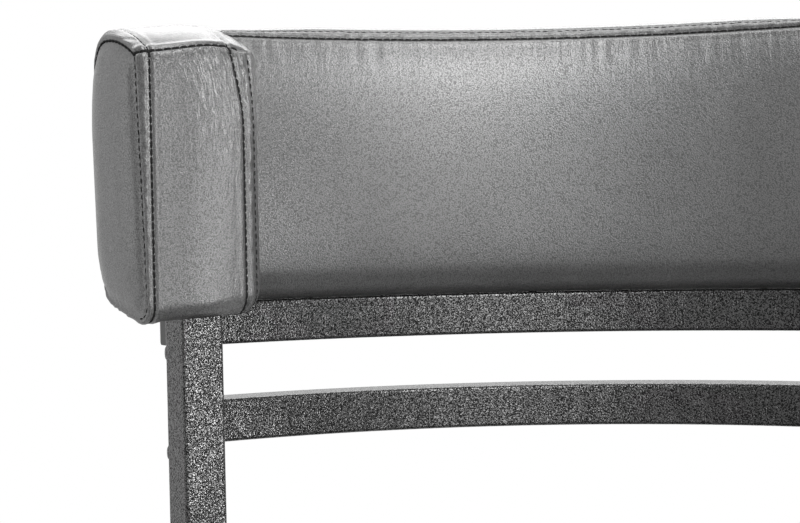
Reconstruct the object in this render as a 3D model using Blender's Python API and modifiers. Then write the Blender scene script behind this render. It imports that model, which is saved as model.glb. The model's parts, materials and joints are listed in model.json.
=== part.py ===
"""Swivel counter stool with a curved padded back. Metres, +Z up, the sitter faces -Y, the floor is Z = 0."""

import math

import bmesh
import bpy
from mathutils import Matrix, Vector

# Fits
FIT = 0.0003            # gap left between two pieces that touch
CLEAR = 0.0006          # extra radius of a hole over the bolt or screw in it

# Square tube
TUBE = 0.025            # side of the tube of the legs, seat frame, posts and back rails
FOOT_TUBE = 0.020       # side of the foot rails' tube
WALL = 0.002
TUBE_CORNER = 0.0018    # outer corner radius
CORNER_STEPS = 3
CHORD_ERROR = 0.00012   # how far a facet of a bend may lie off its true arc

# Heights
SEAT_HEIGHT = 0.660     # crown of the seat cushion above the floor
CUSHION = 0.075
BOARD = 0.012
GLIDE = 0.008
FOOT_RAIL_HEIGHT = 0.215
LOWER_RAIL_HEIGHT = 0.775
RAIL_SPACING = 0.057    # lower back rail to upper back rail, centre to centre

# Base
BASE_PLATE = 0.292      # side of the top plate that the legs are welded to
BASE_PLATE_THICK = 0.005
LEG_TOP_SPREAD = 0.130  # swivel axis to a leg's middle, along X and along Y, at the top
LEG_BOTTOM_SPREAD = 0.232
PLUG_TONGUE = 0.010     # how deep a plastic plug goes into its tube
CAP = 0.002             # thickness of the caps on rails and posts

# Swivel bearing
SWIVEL_PLATE = 0.160
SWIVEL_PLATE_THICK = 0.003
SWIVEL_CORNER = 0.012
BALL = 0.010
BALL_COUNT = 12
BALL_RING = 0.058       # radius of the circle of balls
RACE_WALL = 0.004
RACE_HEIGHT = 0.006
RACE_GAP = 0.0008       # ball to the wall beside it
RACE_STEPS = 48         # flats round a race, so that a ball clears them as it rolls
CAGE_THICK = 0.002
PIVOT_RADIUS = 0.006
PIVOT_HEAD_RADIUS = 0.011
PIVOT_HEAD = 0.003
BOLT_SPACING = 0.130    # square pattern of the swivel bolts
BOLT_RADIUS = 0.003
BOLT_HEAD_RADIUS = 0.0055
BOLT_HEAD = 0.0035
BOLT_GRIP = 0.004       # how far a bolt or screw goes past what it clamps
SCREW_RADIUS = 0.0022
SCREW_HEAD_RADIUS = 0.0045
SCREW_HEAD = 0.0028
SCREW_GRIP = 0.009
TURN_STEPS = 12

# Seat
SEAT_WIDTH = 0.424
SEAT_FRONT = 0.215      # swivel axis to the cushion's front edge
SEAT_REAR = 0.118       # swivel axis to the cushion's rear corners
SEAT_BOW = 0.045        # how far the rear edge swells out between those corners
SEAT_FRONT_BOW = 0.006
SEAT_CORNER = 0.060
SEAT_OUTLINE_STEPS = 4
BOARD_INSET = 0.012
HOOP_INSET = 0.015      # cushion's front edge to the seat hoop's front face
HOOP_BEND = 0.055
REAR_BAR_GAP = 0.0075   # middle of the rear swivel bolts to the rear bar
SEAT_SCREW_Y = 0.108
CUSHION_SEAM = 0.062    # cushion's underside to its top seam
CUSHION_EDGE = 0.010    # roundness of its long edges
CUSHION_DRAW = 0.004    # how far its sides are drawn in between the edges
CROWN_RINGS = ((1.0, 0.4), (0.72, 0.92), (0.36, 1.0))  # share of the plan, share of the rise above the seam

# Back
RAIL_RADIUS = 0.400     # plan radius of both back rails
BACK_CHORD = 0.426      # rail middle line from post to post
BACK_MID_Y = 0.215      # swivel axis to the rails' middle
UPPER_RAIL_LAP = 0.0045  # how far a rail's end cap passes the post's middle
LOWER_RAIL_LAP = -0.001
CORE = 0.012
CORE_HEIGHT = 0.125
CORE_OVERHANG = 0.016
POST_IN_PAD = 0.110     # how far a post rises above the upper rail, inside the pad
PAD_FRONT = 0.031       # rail middle line to the pad's front face
PAD_BACK = 0.033
PAD_SEAM = 0.151        # pad's underside to its top seam
PAD_CROWN = 0.008       # swell above that seam
PAD_EDGE = 0.006        # roundness of the pad's long edges
PAD_STATIONS = 9
CORE_SCREW_ANGLE = math.radians(20.0)

# End block of the pad, measured from the middle of the post inside it
BLOCK_OUTWARD = 0.0340
BLOCK_INWARD = 0.0345
BLOCK_FRONT = 0.0190
BLOCK_BACK = 0.0585
BLOCK_DROP = 0.009      # how far it hangs below the pad's underside
BLOCK_SEAM = 0.152      # its own underside to its top seam
BLOCK_CROWN = 0.014
BLOCK_EDGE = 0.011
BLOCK_SWELL = 0.0025

# Levels that follow from the sizes above
BOARD_TOP = SEAT_HEIGHT - CUSHION - FIT
FRAME_TOP = BOARD_TOP - BOARD - FIT
FRAME_MID = FRAME_TOP - TUBE / 2
FRAME_BOTTOM = FRAME_TOP - TUBE
UPPER_PLATE_BOTTOM = FRAME_BOTTOM - FIT - SWIVEL_PLATE_THICK
LOWER_PLATE_TOP = UPPER_PLATE_BOTTOM - BALL - 2 * FIT
BASE_TOP = LOWER_PLATE_TOP - SWIVEL_PLATE_THICK - FIT
LEG_TOP = BASE_TOP - BASE_PLATE_THICK - FIT
LEG_BOTTOM = GLIDE + FIT
UPPER_RAIL_HEIGHT = LOWER_RAIL_HEIGHT + RAIL_SPACING
RAIL_TOP = UPPER_RAIL_HEIGHT + TUBE / 2
PAD_BOTTOM = RAIL_TOP + FIT
CORE_BOTTOM = RAIL_TOP + FIT
POST_TOP = RAIL_TOP + POST_IN_PAD

# Plan of the back: the posts stand in front of the rails, turned square to them
BACK_CENTRE_Y = BACK_MID_Y - RAIL_RADIUS
POST_ANGLE = math.asin(BACK_CHORD / 2 / RAIL_RADIUS)
POST_RADIUS = math.sqrt((RAIL_RADIUS - TUBE / 2 - FIT) ** 2 - (TUBE / 2) ** 2) - TUBE / 2
POST_X = POST_RADIUS * math.sin(POST_ANGLE)
POST_Y = BACK_CENTRE_Y + POST_RADIUS * math.cos(POST_ANGLE)
CORE_OUTER = RAIL_RADIUS + TUBE / 2 - WALL
CORE_MIDDLE = CORE_OUTER - CORE / 2
CORE_ANGLE = POST_ANGLE + CORE_OVERHANG / CORE_MIDDLE
HOOP_FRONT_Y = -SEAT_FRONT + HOOP_INSET + TUBE / 2
REAR_BAR_Y = BOLT_SPACING / 2 + REAR_BAR_GAP + TUBE / 2

SIDES = (("left", -1), ("right", 1))
CORNERS = (("front_left", -1, -1), ("front_right", 1, -1), ("rear_left", -1, 1), ("rear_right", 1, 1))

COLOURS = {
    "powder_coat": ((0.05, 0.05, 0.052), 0.55, 0.4),
    "leather": ((0.18, 0.18, 0.18), 0.5, 0.0),
    "black_plastic": ((0.02, 0.02, 0.02), 0.5, 0.0),
    "zinc": ((0.55, 0.56, 0.58), 0.35, 1.0),
    "plywood": ((0.50, 0.36, 0.22), 0.7, 0.0),
}


def clear_scene():
    for obj in list(bpy.data.objects):
        bpy.data.objects.remove(obj, do_unlink=True)


def new_collection(name):
    collection = bpy.data.collections.new(name)
    bpy.context.scene.collection.children.link(collection)
    return collection


def new_material(name):
    colour, roughness, metallic = COLOURS[name]
    material = bpy.data.materials.new(name)
    material.use_nodes = True
    shader = material.node_tree.nodes["Principled BSDF"]
    shader.inputs["Base Color"].default_value = (*colour, 1.0)
    shader.inputs["Roughness"].default_value = roughness
    shader.inputs["Metallic"].default_value = metallic
    return material


def new_axis(name, location=(0.0, 0.0, 0.0)):
    axis = bpy.data.objects.new(name, None)
    axis.location = location
    PARTS.objects.link(axis)
    return axis


clear_scene()
PARTS = new_collection("counter_stool")
CUTTERS = new_collection("cutters")
MATERIALS = {name: new_material(name) for name in COLOURS}
BASE = new_axis("base_axis")
BALLS = new_axis("ball_axis", (0.0, 0.0, LOWER_PLATE_TOP))
TURNING = new_axis("swivel_axis", (0.0, 0.0, UPPER_PLATE_BOTTOM))


def add_part(name, mesh, material, parent, matrix=None):
    """One named piece. matrix is its place in the world, and the parent is the axis that it turns with."""
    obj = bpy.data.objects.new(name, mesh)
    PARTS.objects.link(obj)
    mesh.materials.clear()
    mesh.materials.append(MATERIALS[material])
    obj.parent = parent
    obj.matrix_parent_inverse = Matrix.Translation(-parent.location)
    obj.matrix_basis = matrix or Matrix.Identity(4)
    mesh.shade_smooth()
    mesh.set_sharp_from_angle(angle=math.radians(35))
    return obj


def add_cutter(name, mesh, matrix=None):
    obj = bpy.data.objects.new(name, mesh)
    CUTTERS.objects.link(obj)
    obj.matrix_basis = matrix or Matrix.Identity(4)
    obj.hide_render = True
    obj.display_type = "WIRE"
    return obj


def combine(obj, others, operation):
    for other in others:
        modifier = obj.modifiers.new(f"{operation.lower()} {other.name}", "BOOLEAN")
        modifier.operation = operation
        modifier.object = other


def cut(obj, *cutters):
    combine(obj, cutters, "DIFFERENCE")


def mesh_of(bm):
    bmesh.ops.recalc_face_normals(bm, faces=bm.faces)
    mesh = bpy.data.meshes.new("mesh")
    bm.to_mesh(mesh)
    bm.free()
    return mesh


def rounded_square(side, corner):
    """Outline of a square with round corners."""
    points = []
    reach = side / 2 - corner
    for quarter in range(4):
        turn = quarter * math.pi / 2
        middle = Matrix.Rotation(turn, 2) @ Vector((reach, reach))
        for step in range(CORNER_STEPS + 1):
            angle = turn + step / CORNER_STEPS * math.pi / 2
            points.append((middle.x + corner * math.cos(angle), middle.y + corner * math.sin(angle)))
    return points


def circle(radius, middle=(0.0, 0.0)):
    angles = [2 * math.pi * step / TURN_STEPS for step in range(TURN_STEPS)]
    return [(middle[0] + radius * math.cos(a), middle[1] + radius * math.sin(a)) for a in angles]


def tube_outline(side):
    bore = side / 2 - WALL
    return [rounded_square(side, TUBE_CORNER), [(bore, bore), (-bore, bore), (-bore, -bore), (bore, -bore)]]


def arc_steps(radius, angle):
    """Facets that an arc needs to stay within CHORD_ERROR of the true curve."""
    return max(1, math.ceil(abs(angle) / (2 * math.acos(1 - CHORD_ERROR / radius))))


def plate_of(loops, thickness):
    """Flat plate of an outline, with later loops as holes, centred on Z = 0. No thickness gives one face."""
    curve = bpy.data.curves.new("outline", "CURVE")
    curve.dimensions = "2D"
    curve.fill_mode = "BOTH"
    curve.extrude = thickness / 2
    for points in loops:
        spline = curve.splines.new("POLY")
        spline.points.add(len(points) - 1)
        for point, (x, y) in zip(spline.points, points):
            point.co = (x, y, 0.0, 1.0)
        spline.use_cyclic_u = True
    guide = bpy.data.objects.new("outline", curve)
    bpy.context.scene.collection.objects.link(guide)
    mesh = bpy.data.meshes.new_from_object(guide.evaluated_get(bpy.context.evaluated_depsgraph_get()))
    bpy.data.objects.remove(guide, do_unlink=True)
    bm = bmesh.new()
    bm.from_mesh(mesh)
    bmesh.ops.remove_doubles(bm, verts=bm.verts, dist=1e-6)
    return bm


def upright(bottom, top, x=0.0, y=0.0):
    return Matrix.Translation((x, y, (bottom + top) / 2))


def straight_tube(name, parent, start, end, side):
    """Hollow square tube between two points, with its sides upright."""
    start, end = Vector(start), Vector(end)
    run = end - start
    flat = Vector((run.y, -run.x, 0.0)).normalized()
    along = run.normalized()
    frame = Matrix((flat, along.cross(flat), along)).transposed().to_4x4()
    mesh = mesh_of(plate_of(tube_outline(side), run.length))
    return add_part(name, mesh, "powder_coat", parent, Matrix.Translation((start + end) / 2) @ frame)


def bent_solid(loops, moves):
    """Section carried along +Y through straight runs and level bends. A bend is (radius, leftward angle)."""
    bm = plate_of(loops, 0.0)
    bmesh.ops.rotate(bm, verts=bm.verts, matrix=Matrix.Rotation(math.pi / 2, 3, "X"))
    place, heading = Vector(), 0.0
    last = list(bm.faces)
    for index, move in enumerate(moves):
        ahead = Vector((-math.sin(heading), math.cos(heading), 0.0))
        if isinstance(move, tuple):
            radius, angle = move
            aside = Vector((-ahead.y, ahead.x, 0.0)) * math.copysign(radius, angle)
            centre = place + aside
            steps = arc_steps(radius, angle)
            turned = bmesh.ops.spin(bm, geom=last, cent=centre, axis=(0, 0, 1), angle=angle, steps=steps)
            grown = turned["geom_last"]
            place = centre - Matrix.Rotation(angle, 3, "Z") @ aside
            heading += angle
        else:
            grown = bmesh.ops.extrude_face_region(bm, geom=last)["geom"]
            points = [item for item in grown if isinstance(item, bmesh.types.BMVert)]
            bmesh.ops.translate(bm, verts=points, vec=ahead * move)
            place = place + ahead * move
        inside = [face for face in last if face.is_valid and index > 0]
        bmesh.ops.delete(bm, geom=inside, context="FACES_ONLY")
        last = [item for item in grown if isinstance(item, bmesh.types.BMFace)]
    return mesh_of(bm)


def turned_solid(profile, steps=TURN_STEPS):
    """Profile of (radius, height) points, from the top down its outer side, turned about Z."""
    bm = bmesh.new()
    points = [bm.verts.new((radius, 0.0, height)) for radius, height in profile]
    for first, second in zip(points, points[1:]):
        bm.edges.new((first, second))
    if profile[0][0] > 0:
        bm.edges.new((points[-1], points[0]))
    bmesh.ops.spin(
        bm,
        geom=bm.verts[:] + bm.edges[:],
        cent=(0, 0, 0),
        axis=(0, 0, 1),
        angle=2 * math.pi,
        steps=steps,
        use_merge=True,
    )
    bmesh.ops.remove_doubles(bm, verts=bm.verts, dist=1e-6)
    return mesh_of(bm)


def headed_pin(radius, length, head_radius, head):
    """Bolt or screw with a low round head under Z = 0 and its shank up along +Z."""
    edge = head / 3
    profile = [
        (0.0, length),
        (radius, length),
        (radius, 0.0),
        (head_radius, 0.0),
        (head_radius, -head + edge),
        (head_radius - edge, -head),
        (0.0, -head),
    ]
    return turned_solid(profile)


def rod_cutter(name, radius, matrix, length):
    """Drill from Z = -length to +length of its own place."""
    return add_cutter(name, mesh_of(plate_of([circle(radius)], 2 * length)), matrix)


def polar(angle, radius, height=0.0):
    """Place on the back's plan: X outwards along the radius, Y along the arc towards -X, Z up."""
    spot = Matrix.Translation((radius * math.sin(angle), BACK_CENTRE_Y + radius * math.cos(angle), height))
    return spot @ Matrix.Rotation(math.pi / 2 - angle, 4, "Z")


def arc_band(inner, outer, half_angle):
    """Plan outline of a curved strip of the back, about the back's own centre."""
    steps = arc_steps(outer, 2 * half_angle)
    angles = [half_angle * (2 * step / steps - 1) for step in range(steps + 1)]
    far = [(outer * math.sin(a), outer * math.cos(a)) for a in angles]
    near = [(inner * math.sin(a), inner * math.cos(a)) for a in reversed(angles)]
    return far + near


def arc_plate(inner, outer, half_angle, bottom, top):
    mesh = mesh_of(plate_of([arc_band(inner, outer, half_angle)], top - bottom))
    return mesh, upright(bottom, top, 0.0, BACK_CENTRE_Y)


def tube_plug(name, side, head, matrix, parent, lean=(0.0, 0.0)):
    """Plastic plug: a head below Z = 0 over the tube's end, and a tongue up inside it that leans with it."""
    inner = side - 2 * WALL - 2 * FIT
    overlap = head / 2
    shear = Matrix.Identity(4)
    shear[0][2], shear[1][2] = lean
    cover = plate_of([rounded_square(side, TUBE_CORNER)], head)
    bmesh.ops.translate(cover, verts=cover.verts, vec=(0, 0, -head / 2))
    tongue = plate_of([rounded_square(inner, TUBE_CORNER / 2)], PLUG_TONGUE + overlap)
    bmesh.ops.translate(tongue, verts=tongue.verts, vec=(0, 0, (PLUG_TONGUE - overlap) / 2))
    bmesh.ops.transform(tongue, matrix=shear, verts=tongue.verts)
    plug = add_part(name, mesh_of(cover), "black_plastic", parent, matrix)
    combine(plug, [add_cutter(f"{name}_tongue", mesh_of(tongue), matrix)], "UNION")
    return plug


def leg_mesh(loops, side_x, side_y):
    """Leg that leans out both ways, with its two ends cut level."""
    rise = LEG_TOP - LEG_BOTTOM
    lean = (LEG_TOP_SPREAD - LEG_BOTTOM_SPREAD) / rise
    shear = Matrix.Identity(4)
    shear[0][2], shear[1][2] = side_x * lean, side_y * lean
    bm = plate_of(loops, rise)
    bmesh.ops.transform(bm, matrix=shear, verts=bm.verts)
    middle = (LEG_TOP_SPREAD + LEG_BOTTOM_SPREAD) / 2
    place = upright(LEG_BOTTOM, LEG_TOP, side_x * middle, side_y * middle)
    return mesh_of(bm), place, (side_x * lean, side_y * lean)


def build_base():
    """Four leaning legs under a top plate, tied by four foot rails."""
    leg_cutters = {}
    for name, side_x, side_y in CORNERS:
        mesh, place, lean = leg_mesh(tube_outline(TUBE), side_x, side_y)
        add_part(f"leg_{name}", mesh, "powder_coat", BASE, place)
        mesh, place, lean = leg_mesh([rounded_square(TUBE + 2 * FIT, TUBE_CORNER)], side_x, side_y)
        leg_cutters[name] = add_cutter(f"leg_{name}_room", mesh, place)
        foot = Matrix.Translation((side_x * LEG_BOTTOM_SPREAD, side_y * LEG_BOTTOM_SPREAD, GLIDE))
        tube_plug(f"glide_{name}", TUBE, GLIDE, foot, BASE, lean)
    climbed = (FOOT_RAIL_HEIGHT - LEG_BOTTOM) / (LEG_TOP - LEG_BOTTOM)
    reach = LEG_BOTTOM_SPREAD + climbed * (LEG_TOP_SPREAD - LEG_BOTTOM_SPREAD)
    for name, start, end, legs in (
        ("front", (-1, -1), (1, -1), ("front_left", "front_right")),
        ("rear", (-1, 1), (1, 1), ("rear_left", "rear_right")),
        ("left", (-1, -1), (-1, 1), ("front_left", "rear_left")),
        ("right", (1, -1), (1, 1), ("front_right", "rear_right")),
    ):
        ends = [(x * reach, y * reach, FOOT_RAIL_HEIGHT) for x, y in (start, end)]
        rail = straight_tube(f"foot_rail_{name}", BASE, *ends, FOOT_TUBE)
        cut(rail, *(leg_cutters[leg] for leg in legs))
    holes = [circle(BOLT_RADIUS + CLEAR, (x * BOLT_SPACING / 2, y * BOLT_SPACING / 2)) for _, x, y in CORNERS]
    outline = [rounded_square(BASE_PLATE, SWIVEL_CORNER), circle(PIVOT_HEAD_RADIUS + CLEAR), *holes]
    place = upright(BASE_TOP - BASE_PLATE_THICK, BASE_TOP)
    add_part("base_plate", mesh_of(plate_of(outline, BASE_PLATE_THICK)), "powder_coat", BASE, place)


def swivel_plate(name, parent, bottom, race_radius, race_side):
    """Pressed square plate with the round wall that keeps the balls on their circle."""
    holes = [circle(BOLT_RADIUS + CLEAR, (x * BOLT_SPACING / 2, y * BOLT_SPACING / 2)) for _, x, y in CORNERS]
    outline = [rounded_square(SWIVEL_PLATE, SWIVEL_CORNER), circle(PIVOT_RADIUS + CLEAR), *holes]
    top = bottom + SWIVEL_PLATE_THICK
    mesh = mesh_of(plate_of(outline, SWIVEL_PLATE_THICK))
    plate = add_part(name, mesh, "zinc", parent, upright(bottom, top))
    face = top if race_side > 0 else bottom
    low, high = sorted((face - race_side * SWIVEL_PLATE_THICK / 2, face + race_side * RACE_HEIGHT))
    outer, inner = race_radius + RACE_WALL / 2, race_radius - RACE_WALL / 2
    race = turned_solid([(inner, high), (outer, high), (outer, low), (inner, low)], RACE_STEPS)
    combine(plate, [add_cutter(f"{name}_race", race)], "UNION")


def build_swivel():
    """Two plates with a ring of balls between them, held together by a rivet on the axis."""
    room = BALL / 2 + RACE_WALL / 2 + RACE_GAP
    swivel_plate("swivel_lower_plate", BASE, LOWER_PLATE_TOP - SWIVEL_PLATE_THICK, BALL_RING - room, 1)
    swivel_plate("swivel_upper_plate", TURNING, UPPER_PLATE_BOTTOM, BALL_RING + room, -1)
    level = LOWER_PLATE_TOP + FIT + BALL / 2
    high, low = level + CAGE_THICK / 2, level - CAGE_THICK / 2
    reach = BALL / 2 - CLEAR
    inner, outer = BALL_RING - reach, BALL_RING + reach
    ring = turned_solid([(inner, high), (outer, high), (outer, low), (inner, low)], RACE_STEPS)
    cage = add_part("ball_cage", ring, "zinc", BALLS)
    balls = bmesh.new()
    for step in range(BALL_COUNT):
        angle = 2 * math.pi * step / BALL_COUNT
        spot = Matrix.Translation((BALL_RING * math.cos(angle), BALL_RING * math.sin(angle), level))
        bmesh.ops.create_icosphere(balls, subdivisions=1, radius=BALL / 2, matrix=spot)
    combine(cage, [add_cutter("balls", mesh_of(balls))], "UNION")
    low = LOWER_PLATE_TOP - SWIVEL_PLATE_THICK - FIT
    high = UPPER_PLATE_BOTTOM + SWIVEL_PLATE_THICK + FIT
    rivet = [
        (0.0, high + PIVOT_HEAD),
        (PIVOT_HEAD_RADIUS, high + PIVOT_HEAD),
        (PIVOT_HEAD_RADIUS, high),
        (PIVOT_RADIUS, high),
        (PIVOT_RADIUS, low),
        (PIVOT_HEAD_RADIUS, low),
        (PIVOT_HEAD_RADIUS, low - PIVOT_HEAD),
        (0.0, low - PIVOT_HEAD),
    ]
    add_part("swivel_rivet", turned_solid(rivet), "zinc", TURNING)
    turn_over = Matrix.Rotation(math.pi, 4, "X")
    down = SWIVEL_PLATE_THICK + BASE_PLATE_THICK + BOLT_GRIP
    up = SWIVEL_PLATE_THICK + WALL + BOLT_GRIP
    for name, x, y in CORNERS:
        spot = (x * BOLT_SPACING / 2, y * BOLT_SPACING / 2)
        bolt = headed_pin(BOLT_RADIUS, down, BOLT_HEAD_RADIUS, BOLT_HEAD)
        place = Matrix.Translation((*spot, LOWER_PLATE_TOP + FIT)) @ turn_over
        add_part(f"base_bolt_{name}", bolt, "zinc", BASE, place)
        bolt = headed_pin(BOLT_RADIUS, up, BOLT_HEAD_RADIUS, BOLT_HEAD)
        place = Matrix.Translation((*spot, UPPER_PLATE_BOTTOM - FIT))
        add_part(f"seat_bolt_{name}", bolt, "zinc", TURNING, place)


def seat_outline(inset=0.0):
    """Plan of the seat: a square with round corners whose rear edge swells out to follow the back."""
    half = SEAT_WIDTH / 2 - inset
    front, rear = -SEAT_FRONT + inset, SEAT_REAR - inset
    corner = SEAT_CORNER - inset
    points = []
    for turn, x, y in ((0, 1, 1), (1, -1, 1), (2, -1, -1), (3, 1, -1)):
        middle = (x * (half - corner), rear - corner if y > 0 else front + corner)
        for step in range(SEAT_OUTLINE_STEPS + 1):
            angle = (turn + step / SEAT_OUTLINE_STEPS) * math.pi / 2
            points.append((middle[0] + corner * math.cos(angle), middle[1] + corner * math.sin(angle)))
        if turn == 0:
            points.extend(((half - corner) * share, rear) for share in (0.5, 0.0, -0.5))
        if turn == 2:
            points.extend(((half - corner) * share, front) for share in (-0.5, 0.0, 0.5))
    bowed = []
    for x, y in points:
        back_share = (y - front) / (rear - front)
        swell = SEAT_BOW * back_share**4 - SEAT_FRONT_BOW * (1 - back_share) ** 4
        bowed.append((x, y + swell * (1 - (x / half) ** 2)))
    return bowed


def build_seat():
    """Hoop of bent tube with three bars, a plywood board and the cushion."""
    side_run = POST_Y - HOOP_FRONT_Y - HOOP_BEND
    front_run = 2 * (POST_X - HOOP_BEND)
    moves = [side_run, (HOOP_BEND, math.pi / 2), front_run, (HOOP_BEND, math.pi / 2), side_run]
    place = Matrix.Translation((-POST_X, POST_Y, FRAME_MID)) @ Matrix.Rotation(math.pi, 4, "Z")
    hoop = add_part("seat_hoop", bent_solid(tube_outline(TUBE), moves), "powder_coat", TURNING, place)
    cut(hoop, *POST_ROOM)
    bar_reach = POST_X - TUBE / 2 - FIT
    ends = [(x * bar_reach, REAR_BAR_Y, FRAME_MID) for x in (-1, 1)]
    straight_tube("seat_rear_bar", TURNING, *ends, TUBE)
    screw_up = TUBE + SCREW_GRIP
    board_mesh = mesh_of(plate_of([seat_outline(BOARD_INSET)], BOARD))
    board = add_part("seat_board", board_mesh, "plywood", TURNING, upright(BOARD_TOP - BOARD, BOARD_TOP))
    cut(board, *POST_ROOM)
    for name, x in SIDES:
        spot_x = x * BOLT_SPACING / 2
        start = (spot_x, HOOP_FRONT_Y + TUBE / 2 + FIT, FRAME_MID)
        end = (spot_x, REAR_BAR_Y - TUBE / 2 - FIT, FRAME_MID)
        bar = straight_tube(f"seat_bar_{name}", TURNING, start, end, TUBE)
        for y in (-1, 1):
            spot = Matrix.Translation((spot_x, y * BOLT_SPACING / 2, FRAME_BOTTOM))
            hole = rod_cutter(f"seat_bolt_hole_{name}_{y}", BOLT_RADIUS + CLEAR, spot, TUBE / 2)
            cut(bar, hole)
    for name, x, y in CORNERS:
        if y > 0:
            spot = Matrix.Translation((x * BOLT_SPACING, REAR_BAR_Y, FRAME_BOTTOM - FIT))
            holder = bpy.data.objects["seat_rear_bar"]
        else:
            spot = Matrix.Translation((x * BOLT_SPACING / 2, -SEAT_SCREW_Y, FRAME_BOTTOM - FIT))
            holder = bpy.data.objects["seat_bar_left" if x < 0 else "seat_bar_right"]
        screw = headed_pin(SCREW_RADIUS, screw_up, SCREW_HEAD_RADIUS, SCREW_HEAD)
        add_part(f"seat_screw_{name}", screw, "zinc", TURNING, spot)
        hole = rod_cutter(f"seat_screw_hole_{name}", SCREW_RADIUS + CLEAR, spot, screw_up + CLEAR)
        cut(holder, hole)
        cut(board, hole)


def build_cushion():
    """Boxed seat cushion: crowned top, and sides drawn in between a lower and an upper edge."""
    inner = 2 * CUSHION_EDGE
    rise = CUSHION - CUSHION_SEAM
    rings = [
        (inner, 0.0, 1.0),
        (CUSHION_EDGE / 3, 0.0, 1.0),
        (0.0, CUSHION_EDGE, 1.0),
        (CUSHION_DRAW, CUSHION_SEAM / 2, 1.0),
        (0.0, CUSHION_SEAM - CUSHION_EDGE, 1.0),
        (CUSHION_EDGE / 2, CUSHION_SEAM, 1.0),
    ]
    rings.extend((inner, CUSHION_SEAM + rise * climb, share) for share, climb in CROWN_RINGS)
    middle = Vector((0.0, (SEAT_REAR - SEAT_FRONT) / 2))
    bm = bmesh.new()
    loops = []
    for inset, height, share in rings:
        spots = [middle + (Vector(point) - middle) * share for point in seat_outline(inset)]
        loops.append([bm.verts.new((spot.x, spot.y, height)) for spot in spots])
    for lower, upper in zip(loops, loops[1:]):
        for step in range(len(lower)):
            after = (step + 1) % len(lower)
            bm.faces.new((lower[step], lower[after], upper[after], upper[step]))
    bm.faces.new(loops[0])
    bm.faces.new(loops[-1])
    place = Matrix.Translation((0, 0, BOARD_TOP + FIT))
    cushion = soften(add_part("seat_cushion", mesh_of(bm), "leather", TURNING, place))
    cut(cushion, *POST_ROOM)


def soften(obj):
    modifier = obj.modifiers.new("soft form", "SUBSURF")
    modifier.levels = 1
    modifier.render_levels = 1
    return obj


def build_posts():
    """Two posts from the seat hoop up into the pad, each turned square to the rails behind it."""
    bottom = FRAME_BOTTOM + CAP
    for name, side in SIDES:
        place = polar(side * POST_ANGLE, POST_RADIUS)
        middle = Matrix.Translation((0, 0, (bottom + POST_TOP) / 2))
        mesh = mesh_of(plate_of(tube_outline(TUBE), POST_TOP - bottom))
        add_part(f"post_{name}", mesh, "powder_coat", TURNING, place @ middle)
        cap_place = place @ Matrix.Translation((0, 0, bottom - FIT))
        tube_plug(f"post_cap_{name}", TUBE, CAP, cap_place, TURNING)


def post_room(name, side):
    """Space that a post and its cap take up, for the pieces fitted round it."""
    mesh = mesh_of(plate_of([rounded_square(TUBE + 2 * FIT, TUBE_CORNER)], POST_TOP - FRAME_BOTTOM + 2 * FIT))
    place = polar(side * POST_ANGLE, POST_RADIUS) @ Matrix.Translation((0, 0, (POST_TOP + FRAME_BOTTOM) / 2))
    return add_cutter(f"post_room_{name}", mesh, place)


def build_rails():
    """Two level rails, bent to one radius, that run behind the posts and end in plastic caps."""
    for name, height, lap in (
        ("lower", LOWER_RAIL_HEIGHT, LOWER_RAIL_LAP),
        ("upper", UPPER_RAIL_HEIGHT, UPPER_RAIL_LAP),
    ):
        half = POST_ANGLE + (lap - CAP - FIT) / RAIL_RADIUS
        mesh = bent_solid(tube_outline(TUBE), [(RAIL_RADIUS, 2 * half)])
        start = polar(half, RAIL_RADIUS, height)
        rail = add_part(f"{name}_back_rail", mesh, "powder_coat", TURNING, start)
        for side_name, side in SIDES:
            end = polar(side * (half + FIT / RAIL_RADIUS), RAIL_RADIUS, height)
            inwards = end @ Matrix.Rotation(side * -math.pi / 2, 4, "X")
            tube_plug(f"{name}_rail_cap_{side_name}", TUBE, CAP, inwards, TURNING)
        if name == "upper":
            drill_core_screws(rail)


def core_screw_places():
    angles = (("left", -CORE_SCREW_ANGLE), ("middle", 0.0), ("right", CORE_SCREW_ANGLE))
    return [(name, polar(angle, CORE_MIDDLE, RAIL_TOP - WALL - FIT)) for name, angle in angles]


def drill_core_screws(rail):
    """Screws inside the upper rail, up through its top wall into the pad's core, each over a hole for the driver."""
    high = CORE_BOTTOM + CORE_HEIGHT
    core_mesh, core_place = arc_plate(CORE_OUTER - CORE, CORE_OUTER, CORE_ANGLE, CORE_BOTTOM, high)
    core = add_part("back_core", core_mesh, "plywood", TURNING, core_place)
    length = WALL + SCREW_GRIP
    for name, place in core_screw_places():
        screw = headed_pin(SCREW_RADIUS, length, SCREW_HEAD_RADIUS, SCREW_HEAD)
        add_part(f"core_screw_{name}", screw, "zinc", TURNING, place)
        hole = rod_cutter(f"core_screw_hole_{name}", SCREW_RADIUS + CLEAR, place, length + CLEAR)
        cut(rail, hole)
        cut(core, hole)
        below = place @ Matrix.Translation((0, 0, WALL - TUBE))
        cut(rail, rod_cutter(f"driver_hole_{name}", SCREW_HEAD_RADIUS + CLEAR, below, WALL + CLEAR))


def pad_section():
    """Upright section of the pad, front to back: (distance out from the rail's middle line, height) points."""
    front, back = -PAD_FRONT, PAD_BACK
    middle = (front + back) / 2
    inner = PAD_EDGE * 2
    top = PAD_SEAM + PAD_CROWN
    return [
        (front + inner, 0.0),
        (front + PAD_EDGE / 3, 0.0),
        (front, PAD_EDGE),
        (front - PAD_EDGE / 4, PAD_SEAM / 2),
        (front, PAD_SEAM - PAD_EDGE),
        (front + PAD_EDGE / 2, PAD_SEAM),
        (middle - inner, top),
        (middle + inner, top),
        (back - PAD_EDGE / 2, PAD_SEAM),
        (back, PAD_SEAM - PAD_EDGE),
        (back, PAD_EDGE),
        (back - PAD_EDGE / 3, 0.0),
        (back - inner, 0.0),
    ]


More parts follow.
